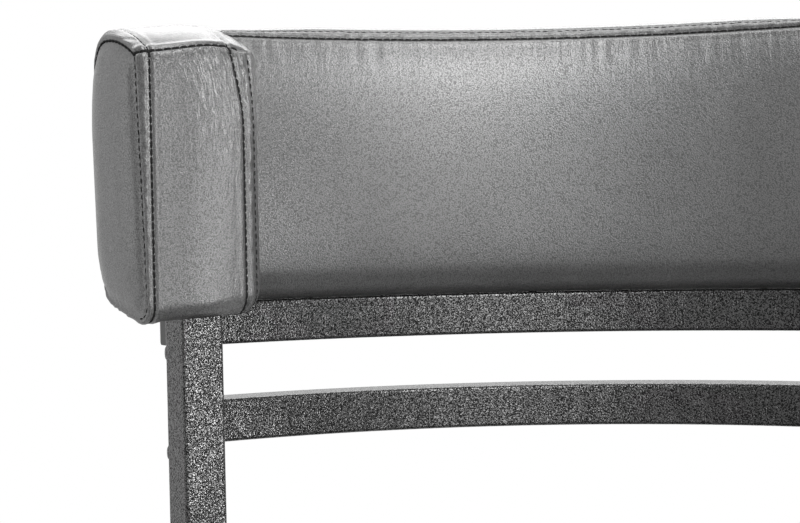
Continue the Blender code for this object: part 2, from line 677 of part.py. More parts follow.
def block_mesh(side):
    """Rounded box over a post: X outwards along the radius, Y along the arc, Z up from its underside."""
    bm = bmesh.new()
    bmesh.ops.create_cube(bm, size=2.0)
    bmesh.ops.subdivide_edges(bm, edges=bm.edges[:], cuts=2, use_grid_fill=True)
    lows = (-BLOCK_FRONT, -BLOCK_INWARD, 0.0)
    highs = (BLOCK_BACK, BLOCK_OUTWARD, BLOCK_SEAM)
    swells = ((BLOCK_SWELL, BLOCK_SWELL), (BLOCK_SWELL, BLOCK_SWELL), (0.0, BLOCK_CROWN))
    for vert in bm.verts:
        on_face = [abs(value) > 0.5 for value in vert.co]
        swollen = sum(on_face) == 1
        spot = []
        for value, outer, low, high, swell in zip(vert.co, on_face, lows, highs, swells):
            out = swell[value > 0] if swollen else 0.0
            move = out if outer else -BLOCK_EDGE
            spot.append(high + move if value > 0 else low - move)
        vert.co = (spot[0], -side * spot[1], spot[2])
    return mesh_of(bm)


def build_pad():
    """Curved back pad with a deeper block at each end, hollowed for the posts, the core and the upper rail."""
    bm = bmesh.new()
    points = [bm.verts.new((RAIL_RADIUS + out, 0.0, height)) for out, height in pad_section()]
    section = bm.faces.new(points)
    start = polar(POST_ANGLE, 0.0)
    bmesh.ops.transform(bm, matrix=start, verts=bm.verts)
    centre = (0.0, BACK_CENTRE_Y, 0.0)
    bmesh.ops.spin(bm, geom=[section], cent=centre, axis=(0, 0, 1), angle=2 * POST_ANGLE, steps=PAD_STATIONS)
    pad = add_part("back_pad", mesh_of(bm), "leather", TURNING, Matrix.Translation((0, 0, PAD_BOTTOM)))
    soften(pad)
    blocks = []
    for name, side in SIDES:
        place = polar(side * POST_ANGLE, POST_RADIUS, PAD_BOTTOM - BLOCK_DROP)
        blocks.append(soften(add_cutter(f"pad_block_{name}", block_mesh(side), place)))
    combine(pad, blocks, "UNION")
    room = 2 * FIT
    half = POST_ANGLE + (UPPER_RAIL_LAP + room) / RAIL_RADIUS
    reach = TUBE / 2 + FIT
    low = PAD_BOTTOM - 2 * BLOCK_DROP
    mesh, place = arc_plate(RAIL_RADIUS - reach, RAIL_RADIUS + reach, half, low, PAD_BOTTOM)
    rail_room = add_cutter("rail_room", mesh, place)
    half = CORE_ANGLE + room / CORE_MIDDLE
    high = CORE_BOTTOM + CORE_HEIGHT + FIT
    mesh, place = arc_plate(CORE_OUTER - CORE - FIT, CORE_OUTER + FIT, half, low, high)
    core_room = add_cutter("core_room", mesh, place)
    cut(pad, rail_room, core_room, *POST_ROOM)


POST_ROOM = [post_room(name, side) for name, side in SIDES]
build_base()
build_swivel()
build_seat()
build_cushion()
build_posts()
build_rails()
build_pad()
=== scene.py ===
"""Looks of the swivel counter stool: sewn leather, wrinkled powder coat, zinc swivel, white studio."""

import json
import math

import bmesh
import bpy
import numpy as np
from mathutils import Matrix, Vector


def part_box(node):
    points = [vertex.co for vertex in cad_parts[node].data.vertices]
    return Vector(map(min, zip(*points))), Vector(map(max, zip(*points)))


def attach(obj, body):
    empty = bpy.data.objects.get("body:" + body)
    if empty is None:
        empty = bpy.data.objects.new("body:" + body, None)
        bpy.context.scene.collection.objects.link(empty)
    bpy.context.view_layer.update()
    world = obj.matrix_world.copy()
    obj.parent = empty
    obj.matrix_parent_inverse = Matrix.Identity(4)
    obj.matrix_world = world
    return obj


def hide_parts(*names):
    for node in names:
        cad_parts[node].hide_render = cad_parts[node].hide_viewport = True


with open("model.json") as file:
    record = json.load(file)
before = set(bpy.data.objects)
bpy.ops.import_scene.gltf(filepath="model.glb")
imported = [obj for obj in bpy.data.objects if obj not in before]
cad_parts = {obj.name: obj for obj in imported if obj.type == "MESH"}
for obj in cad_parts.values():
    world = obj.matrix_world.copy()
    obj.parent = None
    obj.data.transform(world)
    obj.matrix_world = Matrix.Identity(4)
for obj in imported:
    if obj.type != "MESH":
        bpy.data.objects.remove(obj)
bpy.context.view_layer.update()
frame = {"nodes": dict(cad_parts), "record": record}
NODES = frame["nodes"]

# Plan of the back: tube, rail radius and fit as in the solids, the rest read from them
TUBE = 0.025
RAIL_RADIUS = 0.400
FIT = 0.0003
RAIL_LOW, RAIL_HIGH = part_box("upper_back_rail")
LOWER_RAIL_LOW, LOWER_RAIL_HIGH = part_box("lower_back_rail")
POST_LOW, POST_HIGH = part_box("post_left")
BACK_CENTRE_Y = RAIL_HIGH.y - TUBE / 2 - RAIL_RADIUS
PAD_BOTTOM = RAIL_HIGH.z + FIT
POST_X = (POST_LOW.x + POST_HIGH.x) / 2
POST_Y = (POST_LOW.y + POST_HIGH.y) / 2
POST_ANGLE = math.atan2(POST_X, POST_Y - BACK_CENTRE_Y)
OUTWARDS = np.array((math.sin(POST_ANGLE), math.cos(POST_ANGLE)))
ALONG = np.array((-math.cos(POST_ANGLE), math.sin(POST_ANGLE)))

# Main pad: distances out from the rail's middle line, heights above the pad's underside, then its grid
PAD_FRONT = 0.0325
PAD_BACK = 0.0325
PAD_SEAM = 0.1535
PAD_CROWN = 0.0082
PAD_CORNERS = (0.009, 0.018, 0.003, 0.004)
PAD_DRAW = 0.0050
PAD_END = 0.008
PAD_END_DRAW = 0.0030
PAD_END_DROP = 0.0060
PAD_END_CROWN = 0.0035
PAD_CROWN_RUN = 0.080
PAD_IN_BLOCK = 0.0190
PAD_SECOND_ROW = 0.0066
PAD_HELD = 0.003
PAD_FOOT_HELD = 0.004
PAD_CREASE = 0.20
PAD_CREASE_RUN = 0.024
PAD_POINTS = 250
PAD_STATIONS = 330
PAD_CAP_RINGS = 5
PAD_HELD_RINGS = 8
PAD_THREAD_STOP = 6

# End block: distances from the middle of the post inside it, heights above the pad's underside, its grid
BLOCK_FRONT = 0.0175
BLOCK_BACK = 0.0612
BLOCK_BOTTOM = -0.0095
BLOCK_SEAM = 0.1425
BLOCK_CORNERS = (0.027, 0.013, 0.0025, 0.034)
BLOCK_BACK_LEAN = 0.0028
BLOCK_FRONT_SWELL = 0.0042
SIDE_DEPTH = (0.0, 0.25, 0.50, 0.75, 0.85, 0.92, 0.975, 1.0)
SIDE_OUT = (0.0, 0.0014, 0.0020, 0.0016, 0.0005, -0.0018, -0.0058, -0.0112)
SIDE_SWELL = 0.0045
BLOCK_CROWN = 0.0165
CROWN_PEAK = 0.60
SEAM_ALONG = (-0.0378, -0.0210, -0.0082, 0.0187, 0.0305, 0.0385)
SEAM_RISE = (0.0002, 0.0007, 0.0018, -0.0011, -0.0027, -0.0029)
FOOT_ALONG = (-0.0378, -0.0260, -0.0103, 0.0343, 0.0385)
FOOT_RISE = (0.0036, 0.0026, 0.0004, -0.0040, -0.0050)
FOOT_BACK_RISE = 0.0180
BLOCK_INWARD = 0.0375
INNER_RIM = 0.0120
INNER_RIM_TOP = 0.0214
INNER_RIM_DEPTH = 0.0095
OUTER_EDGE = 0.0305
OUTER_RIM_BOTTOM = 0.0030
OUTER_RIM_TOP = 0.0060
SECOND_ROW_TURN = math.radians(40.0)
SECOND_ROW_STOP = 0.004
INNER_CAP_DISH = 0.002
RIM_CLIMB_START = 0.100
BLOCK_CREASE = 1.4
BLOCK_CREASE_RUN = 0.060
BLOCK_POINTS = 300
BLOCK_CAP_RINGS = 12
BLOCK_BAND_RINGS = 44
INNER_RIM_RINGS = 15
OUTER_RIM_RINGS = 11
BLOCK_BACK_STOP = 30
LEFT_SEED, RIGHT_SEED = 20, 40

# Seat cushion, then its grid
CUSHION_LOW, CUSHION_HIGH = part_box("seat_cushion")
SEAT_CORNER = 0.060
SEAT_BOW = 0.045
SEAT_FRONT_BOW = 0.006
SEAT_SEAM = 0.061
SEAT_RIM = 0.009
SEAT_SECOND_ROW = 0.0068
SEAT_LOW_RIM = 0.008
SEAT_CREASE_RUN = 0.020
SEAT_POINTS = 1000
SEAT_RIM_RINGS = 9
SEAT_SIDE_RINGS = 20
SEAT_CAP_RINGS = 14
SEAT_TOP_RINGS = 39
SEAT_SEAM_RING = 4

# Welds: sizes, then the grid of one bead
WELD_RADIUS = 0.0028
WELD_TALL = 1.7
WELD_BELOW = 0.0030
WELD_STEPS = 64
WELD_SIDES = 16
WELD_PATH = 24
WELD_SEED = 70

# Thread rows: pitch, then length, width and height of one stitch
THICK_ROW = (0.0044, 0.0046, 0.0022, 0.0018)
HEAVY_ROW = (0.0044, 0.0047, 0.0029, 0.0022)
THIN_ROW = (0.0044, 0.0031, 0.0012, 0.0012)
STITCH_SIDES = 6
STITCH_RINGS = 6

# Outlines and cloth: points on a corner, steps of the coarse grid, own share of the rings next to a pole
CORNER_STEPS = 24
FINE_STEPS = 8000
RING_STEP = 3
COLUMN_STEP = 4
POLE_SHARES = (0.0, 0.3, 0.6, 0.85)
CLOTH_FRAMES = 20


def rounded_loop(corners, radii, steps=CORNER_STEPS):
    """Closed outline: each polygon corner becomes an arc that touches both its sides."""
    arcs = []
    for index, (corner, radius) in enumerate(zip(corners, radii)):
        corner = np.array(corner)
        to_last = np.array(corners[index - 1]) - corner
        to_next = np.array(corners[(index + 1) % len(corners)]) - corner
        to_last /= np.linalg.norm(to_last)
        to_next /= np.linalg.norm(to_next)
        half = math.acos(float(to_last @ to_next)) / 2
        bisector = (to_last + to_next) / np.linalg.norm(to_last + to_next)
        centre = corner + bisector * radius / math.sin(half)
        first = corner + to_last * radius / math.tan(half) - centre
        last = corner + to_next * radius / math.tan(half) - centre
        start = math.atan2(first[1], first[0])
        sweep = (math.atan2(last[1], last[0]) - start + math.pi) % (2 * math.pi) - math.pi
        angles = start + sweep * np.linspace(0.0, 1.0, steps)
        arcs.append(centre + radius * np.column_stack((np.cos(angles), np.sin(angles))))
    return np.concatenate(arcs)


def lengths(points, axis=0):
    """Running length along one axis of an array of points, from 0."""
    step = np.linalg.norm(np.diff(points, axis=axis), axis=-1)
    zero = np.zeros_like(np.take(step, [0], axis=axis))
    return np.concatenate((zero, np.cumsum(step, axis=axis)), axis=axis)


def spaced(total, count, crowded, gain=4.0, reach=0.005):
    """count places from 0 to total, closer together within reach of the crowded ones.

    They stand at equal shares of a density, which is 1 plus a bell of height gain at each crowded place.
    """
    fine = np.linspace(0.0, total, FINE_STEPS)
    density = np.ones_like(fine)
    for place in crowded:
        density += gain * np.exp(-(((fine - place) / reach) ** 2))
    share = np.cumsum(density)
    return np.interp(np.linspace(share[0], share[-1], count), share, fine)


def resample(loop, count, crowded_corners, steps=CORNER_STEPS):
    """Closed outline at count places, crowded at some corners.

    Gives the points and the index of the one nearest to each corner.
    """
    closed = np.vstack((loop, loop[:1]))
    run = lengths(closed)
    marks = [run[index * steps + steps // 2] for index in range(len(loop) // steps)]
    places = spaced(run[-1], count + 1, [marks[index] for index in crowded_corners])[:-1]
    points = np.column_stack([np.interp(places, run, closed[:, axis]) for axis in (0, 1)])
    return points, [int(np.argmin(np.abs(places - mark))) for mark in marks]


def spline(values, knots, places):
    """Values along axis 0 at places, on cubic pieces through the knots with central slopes."""
    slopes = np.gradient(values, knots, axis=0)
    left = np.clip(np.searchsorted(knots, places, side="right") - 1, 0, len(knots) - 2)
    span = (knots[left + 1] - knots[left]).astype(float)
    shape = (-1,) + (1,) * (values.ndim - 1)
    t = ((places - knots[left]) / span).reshape(shape)
    span = span.reshape(shape)
    start = (1 + 2 * t) * (1 - t) ** 2 * values[left] + t * (1 - t) ** 2 * span * slopes[left]
    end = t * t * (3 - 2 * t) * values[left + 1] + t * t * (t - 1) * span * slopes[left + 1]
    return start + end


def smooth_noise(places, pitch, seed):
    """Smooth random line of height -1 to 1: random values a pitch apart, joined by cubic pieces."""
    knots = np.arange(places.min() - 3 * pitch, places.max() + 4 * pitch, pitch)
    heights = np.random.default_rng(seed).uniform(-1.0, 1.0, len(knots))
    return spline(heights, knots, places.ravel()).reshape(places.shape)


def drum(loop, middle, levels, insets, shares):
    """Rings of one outline stacked along an axis.

    Each ring is the outline drawn in by its inset as a rectangle is, then scaled about the middle by its
    share. Gives (rings, points, 3) with the outline's two measures and the level.
    """
    half = np.abs(loop - middle).max(axis=0)
    scale = (1 - insets[:, :, None] / half) * shares[:, None, None]
    flat = middle + (loop - middle) * scale
    return np.concatenate((flat, levels[:, :, None]), axis=2)


def grid_faces(rows, columns):
    """Quads of a grid whose columns close on themselves."""
    row, column = np.meshgrid(np.arange(rows - 1), np.arange(columns), indexing="ij")
    after = (column + 1) % columns
    here, above = row * columns, (row + 1) * columns
    quads = (here + column, here + after, above + after, above + column)
    return np.stack(quads, axis=-1).reshape(-1, 4)


def new_mesh(name, points, faces, panel=None, pucker=None):
    """Mesh object at the origin, smooth, with its doubles merged and its faces outwards."""
    mesh = bpy.data.meshes.new(name)
    mesh.from_pydata(points.reshape(-1, 3), [], faces)
    if panel is not None:
        layer = mesh.uv_layers.new(name="panel")
        layer.data.foreach_set("uv", panel.reshape(-1).astype(np.float32))
    if pucker is not None:
        attribute = mesh.attributes.new("pucker", "FLOAT", "POINT")
        attribute.data.foreach_set("value", pucker.reshape(-1).astype(np.float32))
    bm = bmesh.new()
    bm.from_mesh(mesh)
    bmesh.ops.remove_doubles(bm, verts=bm.verts, dist=1e-6)
    bmesh.ops.recalc_face_normals(bm, faces=bm.faces)
    bm.to_mesh(mesh)
    bm.free()
    mesh.shade_smooth()
    piece = bpy.data.objects.new(name, mesh)
    bpy.context.scene.collection.objects.link(piece)
    return piece


def panel_uv(points, base):
    """UV of each quad corner in metres: length round the base ring, length across the rings from it."""
    rows, columns = points.shape[:2]
    closed = np.concatenate((points, points[:, :1]), axis=1)
    across = np.broadcast_to(lengths(closed[base])[None, :], (rows, columns + 1))
    along = lengths(closed) - lengths(closed)[base]
    uv = np.stack((across, along), axis=-1)
    corners = (uv[:-1, :-1], uv[:-1, 1:], uv[1:, 1:], uv[1:, :-1])
    return np.stack(corners, axis=2)


def facing(points):
    """Unit normals of a grid whose columns close: the cross product of its directions, turned outwards."""
    along = np.gradient(points, axis=0)
    across = np.roll(points, -1, axis=1) - np.roll(points, 1, axis=1)
    normals = np.cross(across, along)
    normals /= np.maximum(np.linalg.norm(normals, axis=-1, keepdims=True), 1e-12)
    middle = points.mean(axis=(0, 1))
    return normals * np.sign(np.sum(normals * (points - middle)))


def swell(points, held, pressure, cap, calm, frames=CLOTH_FRAMES):
    """Cover blown out by foam: a Cloth with pressure, held at its seams, on every few rings and columns.

    A point moves at most cap. The motion is averaged with its neighbours calm times, levelled towards both
    poles and spread to the whole grid by cubic pieces. Gives the moved points.
    """
    rows, columns = points.shape[:2]
    ring = np.unique(np.concatenate((np.arange(1, rows - 1, RING_STEP), [rows - 2])))
    column = np.arange(0, columns, COLUMN_STEP)
    coarse = points[np.ix_(ring, column)]
    cover = new_mesh("cover", coarse, grid_faces(len(ring), len(column)))
    group = cover.vertex_groups.new(name="held")
    weights = held[np.ix_(ring, column)].ravel()
    for weight in np.unique(weights):
        group.add([int(index) for index in np.flatnonzero(weights == weight)], float(weight), "REPLACE")
    cloth = cover.modifiers.new("cover", "CLOTH")
    settings = cloth.settings
    settings.quality = 6
    settings.mass = 0.3
    settings.tension_stiffness = 15.0
    settings.compression_stiffness = 15.0
    settings.shear_stiffness = 5.0
    settings.bending_stiffness = 0.5
    settings.use_pressure = True
    settings.uniform_pressure_force = pressure
    settings.vertex_group_mass = "held"
    settings.effector_weights.gravity = 0.0
    cloth.collision_settings.use_collision = False
    cloth.point_cache.frame_end = frames
    for step in range(1, frames + 1):
        bpy.context.scene.frame_set(step)
    shaped = cover.evaluated_get(bpy.context.evaluated_depsgraph_get()).to_mesh()
    moved = np.empty(len(shaped.vertices) * 3, np.float32)
    shaped.vertices.foreach_get("co", moved)
    bpy.context.scene.frame_set(1)
    motion = moved.reshape(coarse.shape).astype(float) - coarse
    bpy.data.objects.remove(cover, do_unlink=True)
    far = np.linalg.norm(motion, axis=-1, keepdims=True)
    motion *= np.minimum(1.0, cap / np.maximum(far, 1e-9))
    for _ in range(calm):
        beside = (np.roll(motion, 1, axis=1) + np.roll(motion, -1, axis=1)) / 4 + motion / 2
        motion[1:-1] = beside[1:-1] / 2 + (beside[:-2] + beside[2:]) / 4
    for place, own in enumerate(POLE_SHARES):
        for row in (place, -1 - place):
            motion[row] = own * motion[row] + (1 - own) * motion[row].mean(axis=0)
    wrapped = np.concatenate((motion[:, -3:], motion, motion[:, :4]), axis=1)
    knots = np.concatenate((column[-3:] - columns, column, column[:4] + columns))
    wide = spline(np.swapaxes(wrapped, 0, 1), knots, np.arange(columns))
    return points + spline(np.swapaxes(wide, 0, 1), ring, np.clip(np.arange(rows), ring[0], ring[-1]))


def groove(distance, depth, width):
    """Height of a sewn line: a narrow valley, with a soft roll on each side of it."""
    valley = -depth * np.exp(-((distance / width) ** 2))
    roll = 0.45 * depth * np.exp(-(((np.abs(distance) - 3.2 * width) / (2.0 * width)) ** 2))
    return valley + roll


def curve(places, knots, values):
    """Smooth line through a few (knot, value) pairs, level beyond its ends."""
    knots = np.array(knots)
    held = np.clip(places, knots[0], knots[-1])
    return spline(np.array(values), knots, held.ravel()).reshape(places.shape)


def ease(values, start, end):
    """0 up to start, 1 from end on, and a smooth step between."""
    share = np.clip((values - start) / (end - start), 0.0, 1.0)
    return share * share * (3 - 2 * share)


def gathers(distance, along, reach, pitch, seed):
    """Gathered leather beside a sewn line: ridges across it, a stitch apart, that fade with distance."""
    return smooth_noise(along, pitch, seed) * np.exp(-((distance / reach) ** 2))


def stitch_row(path, up, row, sink=0.0):
    """Stitches along a path: small rounded rods a pitch apart, along the path, lying on the surface."""
    pitch, length, width, height = row
    run = lengths(path)
    count = int(run[-1] / pitch)
    centres = (np.arange(count) + 0.5) * run[-1] / count
    at = np.column_stack([np.interp(centres, run, path[:, axis]) for axis in range(3)])
    ahead = np.column_stack([np.interp(centres, run, np.gradient(path[:, axis], run)) for axis in range(3)])
    above = np.column_stack([np.interp(centres, run, up[:, axis]) for axis in range(3)])
    ahead /= np.linalg.norm(ahead, axis=1, keepdims=True)
    aside = np.cross(ahead, above)
    aside /= np.linalg.norm(aside, axis=1, keepdims=True)
    above = np.cross(aside, ahead)
    turns = np.arange(STITCH_SIDES) * math.pi / (STITCH_SIDES / 2)
    lifts = np.linspace(-math.pi / 2, math.pi / 2, STITCH_RINGS)
    turn, lift = np.meshgrid(turns, lifts, indexing="ij")
    reach = np.sign(np.sin(lift)) * np.abs(np.sin(lift)) ** 0.7
    shape = np.stack((reach, np.cos(lift) * np.cos(turn), np.cos(lift) * np.sin(turn)), axis=-1)
    shape = shape * np.array((length, width, height)) / 2
    shape = np.swapaxes(shape, 0, 1).reshape(-1, 3)
    axes = np.stack((ahead, aside, above), axis=1)
    points = (at - above * sink)[:, None, :] + shape[None] @ axes
    faces = grid_faces(STITCH_RINGS, STITCH_SIDES)[None] + np.arange(count)[:, None, None] * len(shape)
    return points.reshape(-1, 3), faces.reshape(-1, 4)


def thread_piece(name, rows):
    """All the stitches of one cover as one mesh."""
    points, faces, used = [], [], 0
    for row_points, row_faces in rows:
        points.append(row_points)
        faces.append(row_faces + used)
        used += len(row_points)
    return new_mesh(name, np.concatenate(points), np.concatenate(faces))


def on_back(local):
    """World places of (out from the rail's middle line, height above the pad's foot, along the arc)."""
    angle = local[..., 2] / RAIL_RADIUS
    radius = RAIL_RADIUS + local[..., 0]
    x = radius * np.sin(angle)
    y = BACK_CENTRE_Y + radius * np.cos(angle)
    return np.stack((x, y, PAD_BOTTOM + local[..., 1]), axis=-1)


def in_left_block(local):
    """World places of (out from the left post's middle, height above the pad's foot, along the arc)."""
    plan = np.array((POST_X, POST_Y)) + local[..., :1] * OUTWARDS + local[..., 2:] * ALONG
    return np.concatenate((plan, PAD_BOTTOM + local[..., 1:2]), axis=-1)


def crowned(loop, front, back, seam, crown):
    """Outline with its top raised between the front and back seams, by a fourth power that falls to both."""
    middle, half = (back + front) / 2, (back - front) / 2
    rise = crown * np.clip(1 - ((loop[:, 0] - middle) / half) ** 4, 0.0, 1.0)
    high = loop[:, 1] > seam / 2
    return np.column_stack((loop[:, 0], loop[:, 1] + rise * high))


def leather_piece(name, points, uv, pucker, body="seat"):
    """Finished cover of one cushion, riding with the seat."""
    piece = new_mesh(name, points, grid_faces(*points.shape[:2]), uv, pucker)
    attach(piece, body)
    piece.data.materials.append(MATERIALS["leather"])
    return piece


def pad_form(local, reach):
    """Pad's own shape: both faces draw in towards their seams, and its ends sink where they meet the blocks.

    The draw is the square plus the sixth power of the distance from mid-height.
    """
    out, height, along = local[..., 0], local[..., 1], local[..., 2]
    up = np.clip(height / PAD_SEAM, 0.0, 1.0)
    middle, half = (PAD_BACK - PAD_FRONT) / 2, (PAD_BACK + PAD_FRONT) / 2
    side = np.clip((out - middle) / half, -1.0, 1.0)
    end = ease(np.abs(along), reach - PAD_END, reach)
    far = np.abs(2 * up - 1)
    out = out - side * (PAD_DRAW * (far**2 + far**6) + PAD_END_DRAW * end)
    crown = np.clip((height - PAD_SEAM) / PAD_CROWN, 0.0, 1.0)
    low = ease(np.abs(along), reach - PAD_CROWN_RUN, reach)
    height = height - PAD_END_DROP * end * ease(up, 0.4, 1.0) - PAD_END_CROWN * low * crown
    return np.stack((out, height, along), axis=-1)


def build_pad():
    """Main pad: its upright section carried along the arc between the blocks, with thread rows on top."""
    front, back = -PAD_FRONT, PAD_BACK
    corners = ((back, 0.0), (front, 0.0), (front, PAD_SEAM), (back, PAD_SEAM))
    loop, marks = resample(rounded_loop(corners, PAD_CORNERS), PAD_POINTS, (2, 3))
    loop = crowned(loop, front, back, PAD_SEAM, PAD_CROWN)
    reach = -POST_ANGLE * RAIL_RADIUS - PAD_IN_BLOCK
    stations = np.linspace(-reach, reach, PAD_STATIONS)
    cap = np.linspace(0.0, 0.96, PAD_CAP_RINGS)
    shares = np.concatenate((cap, np.ones(len(stations)), np.linspace(0.96, 0.0, PAD_CAP_RINGS)))
    levels = np.concatenate((np.full(PAD_CAP_RINGS, -reach), stations, np.full(PAD_CAP_RINGS, reach)))
    levels = np.broadcast_to(levels[:, None], (len(levels), len(loop)))
    middle = np.array(((front + back) / 2, PAD_SEAM / 2))
    points = on_back(pad_form(drum(loop, middle, levels, np.zeros_like(levels), shares), reach))
    run = lengths(np.vstack((loop, loop[:1])))[:-1]
    first, rear = run[marks[2]], run[marks[3]]
    held = np.zeros(points.shape[:2])
    held[:, np.abs(run - first) < PAD_HELD] = 1.0
    held[:, np.abs(run - rear) < PAD_HELD] = 1.0
    held[:, run < run[marks[1]] + PAD_FOOT_HELD] = 1.0
    held[:, run > run[-1] - PAD_FOOT_HELD] = 1.0
    held[:PAD_HELD_RINGS] = 1.0
    held[-PAD_HELD_RINGS:] = 1.0
    points = swell(points, held, pressure=5.0, cap=0.0025, calm=40)
    normals = facing(points)
    second = first + PAD_SECOND_ROW
    second_rear = rear - PAD_SECOND_ROW
    along = levels
    across = np.broadcast_to(run[None, :], along.shape)
    deep, shallow = {"depth": 0.0011, "width": 0.0009}, {"depth": 0.0005, "width": 0.0008}
    relief = groove(across - first, **deep) + groove(across - rear, **deep)
    relief += groove(across - second, **shallow) + groove(across - second_rear, **shallow)
    halfway = PAD_SECOND_ROW / 2
    relief += 0.00028 * gathers(across - first - halfway, along, reach=0.0045, pitch=0.0034, seed=11)
    relief += 0.00028 * gathers(across - rear + halfway, along, reach=0.0045, pitch=0.0034, seed=12)
    relief += 0.00016 * gathers(across - first + 0.008, along, reach=0.008, pitch=0.0042, seed=13)
    points = points + normals * relief[:, :, None]
    below = np.clip(first - across, 0.0, None)
    pucker = PAD_CREASE * np.exp(-below / PAD_CREASE_RUN) * (across < first + 0.001)
    pad = leather_piece("back_pad_cover", points, panel_uv(points, len(points) // 2), pucker)
    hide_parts("back_pad")
    inside = slice(PAD_THREAD_STOP, -PAD_THREAD_STOP)
    rows = []
    plan = ((first, THICK_ROW), (second, THIN_ROW), (second_rear, THIN_ROW), (rear, THICK_ROW))
    for place, row in plan:
        column = int(np.argmin(np.abs(run - place)))
        rows.append(stitch_row(points[inside, column], normals[inside, column], row))
    finish_thread(thread_piece("back_pad_thread", rows))


def finish_thread(piece):
    """Thread rides with the seat and takes the thread material."""
    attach(piece, "seat")
    piece.data.materials.append(MATERIALS["thread"])


def block_rims(loop):
    """Radius of the block's inner and outer rim, and its outer reach, at each point of the outline."""
    height = loop[:, 1]
    climb = np.clip((height - RIM_CLIMB_START) / (BLOCK_SEAM - RIM_CLIMB_START), 0.0, 1.0)
    inner = INNER_RIM + (INNER_RIM_TOP - INNER_RIM) * climb**1.6
    up = np.clip((height - BLOCK_BOTTOM) / (BLOCK_SEAM - BLOCK_BOTTOM), 0.0, 1.0)
    outer = OUTER_RIM_BOTTOM + (OUTER_RIM_TOP - OUTER_RIM_BOTTOM) * up
    return inner, outer, OUTER_EDGE + outer


def block_form(local):
    """Block's own shape: its top seam and underside tilt along the arc, its front, top and outer side swell.

    The top rises as 1 - |1 - f / peak| to the power 2.2, where f is the share of the way from front to back.
    """
    out, height, along = local[..., 0], local[..., 1], local[..., 2]
    up = (height - BLOCK_BOTTOM) / (BLOCK_SEAM - BLOCK_BOTTOM)
    depth = np.clip((out + BLOCK_FRONT) / (BLOCK_FRONT + BLOCK_BACK), 0.0, 1.0)
    crown = BLOCK_CROWN * (1 - np.abs(1 - depth / CROWN_PEAK) ** 2.2)
    height = height + crown * ease(up, 0.50, 1.0) ** 1.5
    height += curve(along, SEAM_ALONG, SEAM_RISE) * ease(up, 0.45, 1.0)
    foot = curve(along, FOOT_ALONG, FOOT_RISE) + FOOT_BACK_RISE * depth * ease(along, -0.030, 0.020)
    height += foot * (1 - ease(up, 0.0, 0.35))
    inner_edge = INNER_RIM - BLOCK_INWARD
    middle, half = (OUTER_EDGE + inner_edge) / 2, (OUTER_EDGE - inner_edge) / 2
    swell_share = np.clip(1 - ((along - middle) / half) ** 2, 0.0, 1.0)
    out = out + BLOCK_BACK_LEAN * (up - 0.5) * depth - BLOCK_FRONT_SWELL * swell_share * (1 - depth) ** 4
    along = along + curve(depth, SIDE_DEPTH, SIDE_OUT) * ease(along, 0.0, OUTER_EDGE)
    return np.stack((out, height, along), axis=-1)


